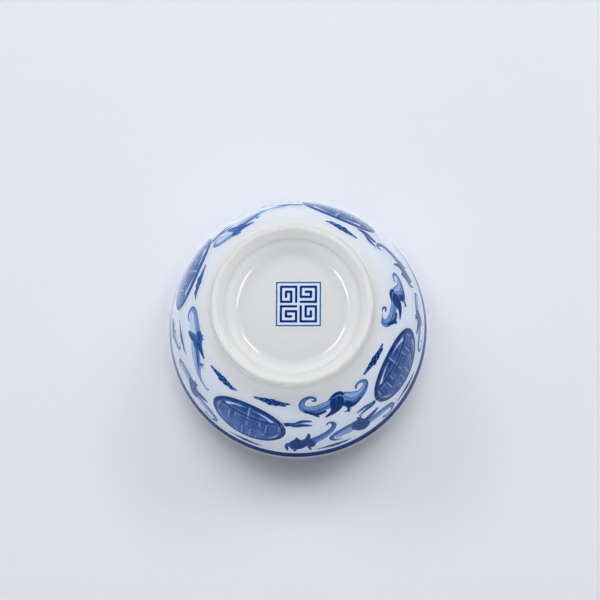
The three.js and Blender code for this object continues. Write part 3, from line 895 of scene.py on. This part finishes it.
def floor_sheet(name, height, size, facing_up, color):
    corners = [(-size, -size, height), (size, -size, height), (size, size, height), (-size, size, height)]
    order = (0, 1, 2, 3) if facing_up else (3, 2, 1, 0)
    sheet = make_mesh(name, corners, [order], [one_sided(name + "_paper", color)], smooth=False)
    sheet.visible_diffuse = not facing_up
    sheet.visible_glossy = not facing_up
    sheet.visible_transmission = False
    sheet.visible_shadow = False


def soft_light(name, azimuth, elevation, distance, size, irradiance):
    """A soft box on the foot's side of the cup. Azimuth 90 is the top of the picture, and
    elevation is measured from the rim plane. irradiance is what reaches the cup."""
    data = bpy.data.lights.new(name, "AREA")
    data.shape = "ELLIPSE"
    data.size, data.size_y = size
    data.energy = irradiance * math.pi * distance ** 2
    flat = math.cos(math.radians(elevation))
    away = Vector((flat * math.cos(math.radians(azimuth)), -flat * math.sin(math.radians(azimuth)),
                   -math.sin(math.radians(elevation))))
    light = bpy.data.objects.new(name, data)
    light.location = away * distance
    side = Vector((math.sin(math.radians(azimuth)), math.cos(math.radians(azimuth)), 0.0))
    light.rotation_mode = "QUATERNION"
    light.rotation_quaternion = Matrix((side, away.cross(side), away)).transposed().to_quaternion()
    bpy.context.collection.objects.link(light)
    return light


def make_camera():
    """Looks at the foot from below, a little from the side, with the lip's far edge hidden."""
    data = bpy.data.cameras.new("camera")
    data.lens = CAMERA_LENS
    data.sensor_width = 36
    camera = bpy.data.objects.new("camera", data)
    camera.rotation_mode = "QUATERNION"
    right = Vector(CAMERA_RIGHT)
    up = Vector(CAMERA_UP)
    back = right.cross(up)
    camera.location = Vector(CAMERA_PLACE) * MM
    camera.rotation_quaternion = Matrix((right, up, back)).transposed().to_quaternion()
    bpy.context.collection.objects.link(camera)
    bpy.context.scene.camera = camera


def make_horizon():
    """A pale dome behind the table, seen only by the camera."""
    material = bpy.data.materials.new("horizon")
    material.use_nodes = True
    nodes = material.node_tree.nodes
    glow = nodes.new("ShaderNodeEmission")
    glow.inputs["Color"].default_value = (*HORIZON_COLOR, 1)
    material.node_tree.links.new(glow.outputs[0], nodes["Material Output"].inputs["Surface"])
    rings, turns = 6, 48
    points = []
    for ring in range(rings + 1):
        rise = math.radians(-2 + 88 * ring / rings)
        for i in range(turns):
            turn = 2 * math.pi * i / turns
            flat = HORIZON_RADIUS * math.cos(rise)
            points.append((flat * math.cos(turn), flat * math.sin(turn), HORIZON_RADIUS * math.sin(rise)))
    faces = []
    for ring in range(rings):
        for i in range(turns):
            j = (i + 1) % turns
            below, above = ring * turns, (ring + 1) * turns
            faces.append((below + i, above + i, above + j, below + j))
    dome = make_mesh("horizon_dome", points, faces, [material])
    dome.visible_diffuse = False
    dome.visible_glossy = False
    dome.visible_transmission = False
    dome.visible_shadow = False


def make_stage():
    """A table under the foot, seen only from above, and a sheet at the lip, seen only from
    below, so that the cup rests on something in both kinds of view."""
    floor_sheet("floor_below", 0.0, TABLE_HALF, True, TABLE_COLOR)
    floor_sheet("floor_behind_lip", HEIGHT * MM, BACKING_HALF, False, BACKING_COLOR)
    make_horizon()
    world = bpy.data.worlds.new("tent")
    world.use_nodes = True
    background = world.node_tree.nodes["Background"]
    background.inputs["Color"].default_value = (*WORLD_COLOR, 1)
    background.inputs["Strength"].default_value = WORLD_STRENGTH
    bpy.context.scene.world = world
    bpy.context.scene.view_settings.view_transform = "Standard"


def make_lights():
    """Soft boxes that give the shading, and boxes that only show as arcs of light in the glaze."""
    for name, azimuth, elevation, distance, size, irradiance in SHADING_BOXES:
        box = soft_light(name, azimuth, elevation, distance, size, irradiance)
        box.visible_glossy = False
    for name, azimuth, elevation, length in GLINT_BOXES:
        size = (length, GLINT_HEIGHT)
        glint = soft_light(name, azimuth, elevation, GLINT_DISTANCE, size, length * GLINT_STRENGTH)
        glint.visible_diffuse = False
    sun = bpy.data.lights.new("overhead", "SUN")
    sun.energy = SUN_STRENGTH
    sun.angle = math.radians(SUN_SPREAD)
    overhead = bpy.data.objects.new("overhead", sun)
    overhead.rotation_mode = "QUATERNION"
    overhead.rotation_quaternion = Vector(SUN_DIRECTION).to_track_quat("-Z", "Y")
    bpy.context.collection.objects.link(overhead)


def light_the_wall():
    """Reflector cards below and beside the picture that only reach the cup."""
    cup = bpy.data.collections.new("cup_pieces")
    for piece in bpy.data.objects:
        if piece.name.startswith(("cup_", "painted_")):
            cup.objects.link(piece)
    for name, azimuth, irradiance in REFLECTOR_CARDS:
        card = soft_light(name, azimuth, CARD_ELEVATION, CARD_DISTANCE, CARD_SIZE, irradiance)
        card.visible_glossy = False
        card.light_linking.receiver_collection = cup


porcelain = porcelain_material()
cobalt = cobalt_material("cobalt_underglaze")
make_camera()
make_stage()
make_lights()
make_body(porcelain)
make_rim_band(cobalt)
make_motifs(cobalt)
make_mark(cobalt)

light_the_wall()
